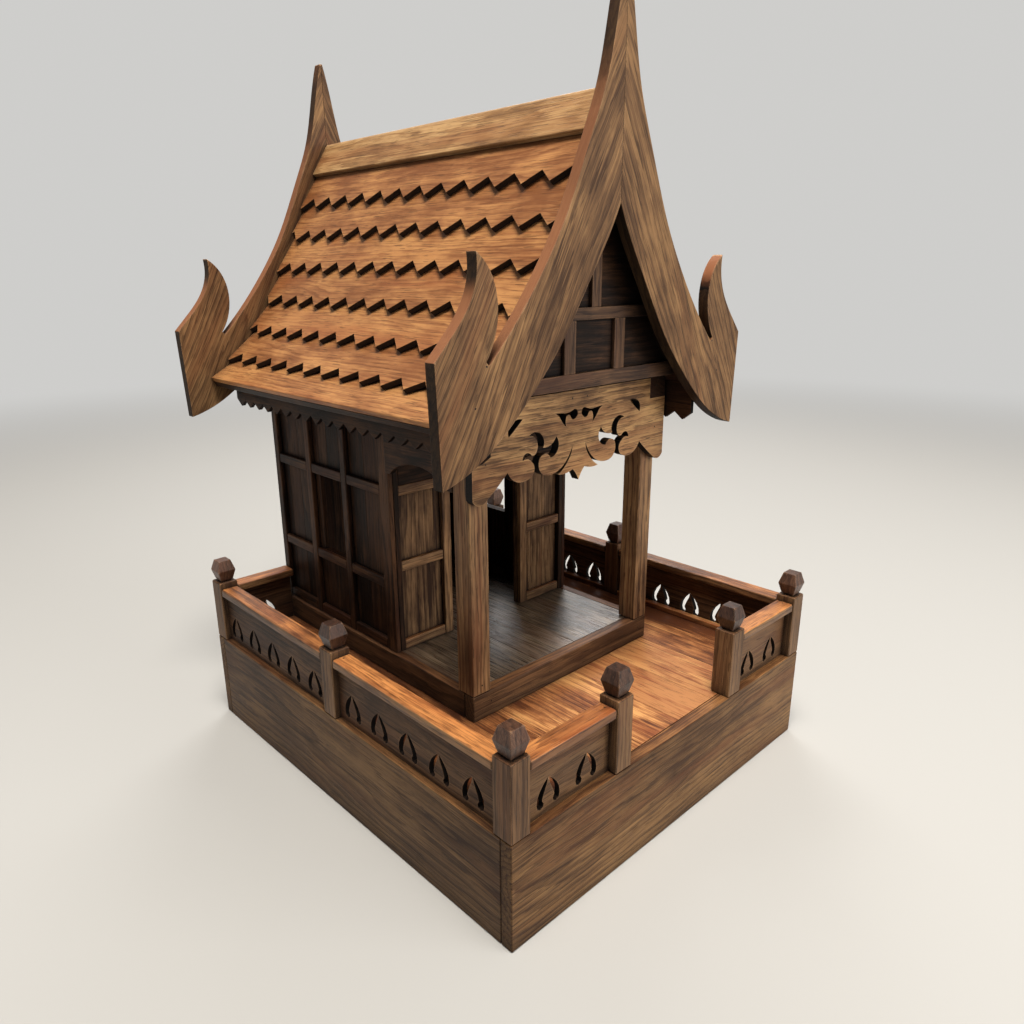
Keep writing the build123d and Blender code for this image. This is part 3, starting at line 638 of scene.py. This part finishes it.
# Rails fill the bays between stiles
def railRows(stiles, starts):
    height = walls["rail"]
    return [(a, b, s, s + height) for (_, a), (b, _) in zip(stiles, stiles[1:]) for s in starts]


# Side walls in the wall wood, darkened as painted shade under the eaves
def makeSideWalls():
    x0, x1, y0, y1, z0, z1 = sizeOf("left_wall")
    low, high = walls["windowLow"], walls["windowHigh"]
    front, back = walls["windowFront"], walls["windowBack"]
    sections = strips(y0, front, walls["plankWidth"]) + strips(back, y1, walls["plankWidth"])
    planks = [[x0, x1, a, b, z0, z1] for a, b in sections]
    for a, b in strips(front, back, walls["plankWidth"]):
        planks += [[x0, x1, a, b, z0, low], [x0, x1, a, b, high, z1]]
    boards("left_wall_planks", planks, "wall_teak", walls["plankEase"], ["left_wall"], along=(0, 0, 1))
    boards("right_wall_planks", [otherSide(row) for row in planks], "wall_teak", walls["plankEase"],
           ["right_wall"], along=(0, 0, 1))
    fx0 = sizeOf("side_wall_frames")[0]
    stiles = sideStiles(y0, y1)
    rows = [[fx0, x0, a, b, z0, z1] for a, b in stiles]
    rows += [[fx0 + walls["railInset"], x0, *bar] for bar in railRows(stiles, railStarts(z0, z1))]
    boards("side_frame_bars", bothSides(rows), "frame_teak", walls["frameEase"], ["side_wall_frames"],
           finish="shade_teak")


def makeFrontWall():
    x0, x1, y0, y1, z0, z1 = sizeOf("front_wall")
    door = -walls["doorHalf"]
    planks = [[a, b, y0, y1, z0, z1] for a, b in strips(x0, door, walls["plankWidth"])]
    boards("front_wall_planks", bothSides(planks), "wall_teak", walls["plankEase"], ["front_wall"],
           along=(0, 0, 1), finish="panel_teak")
    fy0 = sizeOf("front_wall_frame")[2]
    rail, jamb = walls["rail"], walls["jamb"]
    rows = [[door - jamb, door, fy0, y0, z0, z1]]
    for start in (z0, z0 + walls["doorRail"], z1 - rail):
        rows.append([x0, door - jamb, fy0 + walls["railInset"], y0, start, start + rail])
    boards("front_frame_bars", bothSides(rows), "frame_teak", walls["frameEase"], ["front_wall_frame"],
           finish="post_teak")
    boards("door_header_board", [sizeOf("door_header")], "wall_teak", walls["frameEase"],
           ["door_header"], along=(1, 0, 0))


def makeBackWall():
    x0, x1, y0, y1, z0, z1 = sizeOf("back_wall")
    planks = [[a, b, y0, y1, z0, z1] for a, b in strips(x0, x1, walls["plankWidth"])]
    boards("back_wall_planks", planks, "wall_teak", walls["plankEase"], ["back_wall"], along=(0, 0, 1))
    fy1 = sizeOf("back_wall_frame")[3]
    narrow, proud = walls["stile"], fy1 - walls["railInset"]
    bay = (x1 - x0 - 2 * narrow) / 3
    stiles = [(x0, x0), (x0 + bay, x0 + bay + narrow), (x1 - bay - narrow, x1 - bay), (x1, x1)]
    rows = [[a, b, y1, fy1, z0, z1] for a, b in stiles[1:3]]
    rows += [[a, b, y1, proud, c, d] for a, b, c, d in railRows(stiles, railStarts(z0, z1))]
    boards("back_frame_bars", rows, "frame_teak", walls["frameEase"], ["back_wall_frame"],
           finish="shade_teak")


makePlatform()
makeSideWalls()
makeFrontWall()
makeBackWall()
print("platform and walls")


# Sawn edges of aprons, fretwork and valances are darkened: stain with painted shade
porch = dict(postSize=17.2, postEase=1.1, plateEase=0.8, apronDark=0.5, fretEase=0.45, fretDark=0.85,
             valanceEase=0.35, valanceDark=0.7, gableEase=0.4, barEase=0.7)

# Heights at which the gables' bars meet: the low rail's top, and both edges of the middle one
gableJoints = (321.6, 356.7, 365.1)


def makePorch():
    x0, x1, y0, y1, z0, z1 = sizeOf("porch_posts")
    boards("porch_post_timbers", bothSides([[x0, x0 + porch["postSize"], y0, y1, z0, z1]]),
           "frame_teak", porch["postEase"], ["porch_posts"], finish="post_teak")
    easedCopy("wall_plates", "frame_teak", porch["plateEase"], along=(0, 1, 0), finish="shade_teak")
    easedCopy("porch_aprons", "frame_teak", porch["plateEase"], along=(0, 1, 0),
              cutDark=porch["apronDark"], finish="shade_teak")
    easedCopy("fretwork", "carved_teak", porch["fretEase"], along=(1, 0, 0),
              cutDark=porch["fretDark"], finish="fret_lit_teak")
    easedCopy("eave_valances", "carved_teak", porch["valanceEase"], along=(0, 1, 0),
              cutDark=porch["valanceDark"], finish="wall_teak")


# Gables in the wall wood, darkened as painted shade
def makeGables():
    easedCopy("gable_front", "wall_teak", porch["gableEase"], along=(1, 0, 0))
    easedCopy("gable_back", "wall_teak", porch["gableEase"], along=(1, 0, 0))
    easedCopy("gable_frames", "frame_teak", porch["barEase"],
              cuts=[((0, 0, z), (0, 0, 1)) for z in gableJoints])


makePorch()
makeGables()
print("porch and gables")


# The fibres of a bargeboard lean inward by bargeLean across for every bargeRise up. The sawn edges of
# the courses' teeth and of the bargeboards are darkened: stain with painted shade.
roof = dict(courses=6, courseEase=0.45, courseDark=0.93, deckEase=0.4, capEase=0.9, eaveEase=0.9,
            bargeEase=1.0, bargeDark=0.85, bargeLean=0.47, bargeRise=0.88)


def makeRoof():
    for side in ("left", "right"):
        easedCopy("roof_deck_" + side, "roof_teak", roof["deckEase"], along=(0, 1, 0),
                  finish="wall_teak")
        easedCopy("ridge_cap_" + side, "roof_teak", roof["capEase"], along=(0, 1, 0),
                  finish="cap_teak")
    for number in range(1, roof["courses"] + 1):
        easedCopy("roof_course_" + str(number), "roof_teak", roof["courseEase"], along=(0, 1, 0),
                  cutDark=roof["courseDark"])
    easedCopy("eave_boards", "roof_teak", roof["eaveEase"], along=(0, 1, 0))
    for end in ("front", "back"):
        for side, lean in (("left", roof["bargeLean"]), ("right", -roof["bargeLean"])):
            easedCopy("bargeboard_" + end + "_" + side, "carved_teak", roof["bargeEase"],
                      along=(lean, 0, roof["bargeRise"]), cutDark=roof["bargeDark"])


makeRoof()
print("roof")


# Round plugs over the nails, each a low cone: radius, height over the wood, and for the two rings
# their share of the height and of the radius. Then where they are: x and z on bargeboards and
# fretwork, z on the posts, x on the front fascia, y on the side ones and z on both, and how far from
# a post on the handrails.
plugs = dict(radius=0.75, proud=0.05, sides=10, rings=((-0.2, 1.0), (0.6, 0.85)),
             barge=((118.1, 336.1), (127.4, 312.8)), fret=((92, 301), (92, 268), (8, 302)),
             post=(284, 104), fascia=(-84, -22, 38, 91), sideFascia=(-88, -30, 45, 118, 150),
             fasciaHeight=88.0, fromPost=4)


# Rows of x, y, z, the axis that the plug faces along and its sign
def plugPlaces():
    bargeFront = sizeOf("bargeboard_front_left")[2]
    bargeBack = sizeOf("bargeboard_back_left")[3]
    fretFront = sizeOf("fretwork")[2]
    x0, _, y0, y1, _, _ = sizeOf("platform_floor")
    railTop = sizeOf("handrails")[5]
    left = [[-x, bargeFront, z, 1, -1] for x, z in plugs["barge"]]
    left += [[-x, bargeBack, z, 1, 1] for x, z in plugs["barge"]]
    left += [[-x, fretFront, z, 1, -1] for x, z in plugs["fret"]]
    left += [[x0 + porch["postSize"] / 2, y0, z, 1, -1] for z in plugs["post"]]
    left += [[x0, y, plugs["fasciaHeight"], 0, -1] for y in plugs["sideFascia"]]
    half = fence["postSize"] / 2
    off = half + plugs["fromPost"]
    outer = sizeOf("fence_posts")[0] + half
    front = sizeOf("fence_posts")[2] + half
    ends = (front + off, fence["middlePost"] - off, fence["middlePost"] + off)
    left += [[outer, y, railTop, 2, 1] for y in ends]
    left += [[x, front, railTop, 2, 1] for x in (outer + off, -fence["gate"] - half - off)]
    right = [[-x, y, z, axis, -side if axis == 0 else side] for x, y, z, axis, side in left]
    return left + right + [[x, y0, plugs["fasciaHeight"], 1, -1] for x in plugs["fascia"]]


def makePlugs():
    count = plugs["sides"]
    turns = np.linspace(0, 2 * math.pi, count, endpoint=False)
    points, faces = [], []
    for x, y, z, axis, side in plugPlaces():
        start = len(points)
        ring = np.zeros((count * 2 + 1, 3))
        across = [a for a in range(3) if a != axis]
        for level, (reach, size) in enumerate(plugs["rings"]):
            rows = slice(level * count, (level + 1) * count)
            ring[rows, across[0]] = np.cos(turns) * plugs["radius"] * size
            ring[rows, across[1]] = np.sin(turns) * plugs["radius"] * size
            ring[rows, axis] = reach * plugs["proud"] * side
        ring[-1, axis] = plugs["proud"] * side
        points += ((ring + (x, y, z)) * mm).tolist()
        for i in range(count):
            j = (i + 1) % count
            faces.append([start + i, start + j, start + count + j, start + count + i])
            faces.append([start + count + i, start + count + j, start + 2 * count])
    mesh = bpy.data.meshes.new("plugs")
    mesh.from_pydata(points, [], faces)
    shape = bmesh.new()
    shape.from_mesh(mesh)
    bmesh.ops.recalc_face_normals(shape, faces=shape.faces)
    shape.to_mesh(mesh)
    shape.free()
    asPiece(mesh, "nail_plugs", "carved_teak", finish="plug_teak")


makePlugs()
print("plugs")


# Lengths in metres. reach and fade are where the floor starts and ends to turn into the backdrop;
# sky is the world's strength at the left and what is added towards the right, between skySides.
studio = dict(floor=(184, 182, 178), floorHalf=40, backdrop=(0.62, 0.615, 0.60), reach=1.1, fade=2.6,
              sky=(0.08, 0.29), skySides=(-0.6, 0.5), skyColour=(1.0, 0.98, 0.95, 1), aim=(0, 0, 0.25),
              focal=27.415, place=(-0.42275, -0.47757, 0.38921), azimuth=-43.92, tilt=17.23, roll=-0.32)

lamps = dict(key=dict(place=(-0.42, -0.5, 2.45), size=(0.8, 0.8), power=78, colour=(1.0, 0.96, 0.90)),
             fill=dict(place=(0.7, -2.0, 0.9), size=(1.4, 1.0), power=22, colour=(1.0, 0.99, 0.97)),
             rim=dict(place=(1.2, 1.2, 1.7), size=(1.1, 1.1), power=22, colour=(1, 1, 1)))


# Pale floor that keeps the shadow near the object and runs into the backdrop's colour further off
def makeFloor():
    mesh = bpy.data.meshes.new("floor")
    h = studio["floorHalf"]
    mesh.from_pydata([(-h, -h, 0), (h, -h, 0), (h, h, 0), (-h, h, 0)], [], [(0, 1, 2, 3)])
    floor = bpy.data.objects.new("floor", mesh)
    bpy.context.scene.collection.objects.link(floor)
    material = bpy.data.materials.new("floor_paper")
    material.use_nodes = True
    tree = material.node_tree
    tree.nodes.clear()
    place = put(tree, "TexCoord").outputs["Object"]
    away = put(tree, "VectorMath", {0: place}, operation="LENGTH").outputs["Value"]
    paper = put(tree, "BsdfDiffuse", {"Color": paint(*studio["floor"])}).outputs[0]
    glow = put(tree, "Emission", {"Color": (*studio["backdrop"], 1), "Strength": 1.0}).outputs[0]
    far = ramp(tree, away, studio["reach"], studio["fade"])
    mixed = put(tree, "MixShader", {0: far, 1: paper, 2: glow}).outputs[0]
    put(tree, "OutputMaterial", {"Surface": mixed})
    mesh.materials.append(material)


# The world lights the object softly, less from the left, where the photograph has shade; what the
# camera, a gloss or a glass sees of it is the backdrop
def makeWorld():
    world = bpy.data.worlds.new("studio")
    bpy.context.scene.world = world
    world.use_nodes = True
    tree = world.node_tree
    tree.nodes.clear()
    path = put(tree, "LightPath").outputs
    seen = calc(tree, "MAXIMUM", path["Is Camera Ray"], path["Is Transmission Ray"])
    seen = calc(tree, "MAXIMUM", seen, path["Is Glossy Ray"])
    aside = put(tree, "SeparateXYZ", {0: put(tree, "TexCoord").outputs["Generated"]}).outputs[0]
    least, added = studio["sky"]
    strength = total(tree, times(tree, ramp(tree, aside, *studio["skySides"]), added), least)
    soft = put(tree, "Background", {"Color": studio["skyColour"], "Strength": strength}).outputs[0]
    plain = put(tree, "Background", {"Color": (*studio["backdrop"], 1), "Strength": 1.0}).outputs[0]
    mixed = put(tree, "MixShader", {0: seen, 1: soft, 2: plain}).outputs[0]
    put(tree, "OutputWorld", {"Surface": mixed})


def makeLamp(name, place, size, power, colour):
    lamp = bpy.data.lights.new(name, "AREA")
    lamp.shape = "RECTANGLE"
    lamp.size, lamp.size_y = size
    lamp.energy = power
    lamp.color = colour
    made = bpy.data.objects.new(name, lamp)
    made.location = place
    aim = Vector(studio["aim"]) - Vector(place)
    made.rotation_euler = aim.to_track_quat("-Z", "Y").to_euler()
    bpy.context.scene.collection.objects.link(made)


# The camera stands where the photograph was taken from: azimuth turns it left from +Y, tilt down
def makeCamera():
    turn, tilt, roll = (math.radians(studio[key]) for key in ("azimuth", "tilt", "roll"))
    ahead = Vector((-math.sin(turn) * math.cos(tilt), math.cos(turn) * math.cos(tilt), -math.sin(tilt)))
    right = Vector((math.cos(turn), math.sin(turn), 0))
    up = right.cross(ahead)
    sideways = right * math.cos(roll) + up * math.sin(roll)
    upright = up * math.cos(roll) - right * math.sin(roll)
    camera = bpy.data.cameras.new("camera")
    camera.lens = studio["focal"]
    camera.sensor_width = 36
    camera.clip_start = 0.01
    made = bpy.data.objects.new("camera", camera)
    turned = Matrix((sideways, upright, -ahead)).transposed().to_4x4()
    made.matrix_world = Matrix.Translation(studio["place"]) @ turned
    bpy.context.scene.collection.objects.link(made)
    bpy.context.scene.camera = made


makeFloor()
makeWorld()
for name, lamp in lamps.items():
    makeLamp(name, **lamp)
makeCamera()
bpy.context.scene.view_settings.view_transform = "Standard"
print("studio")
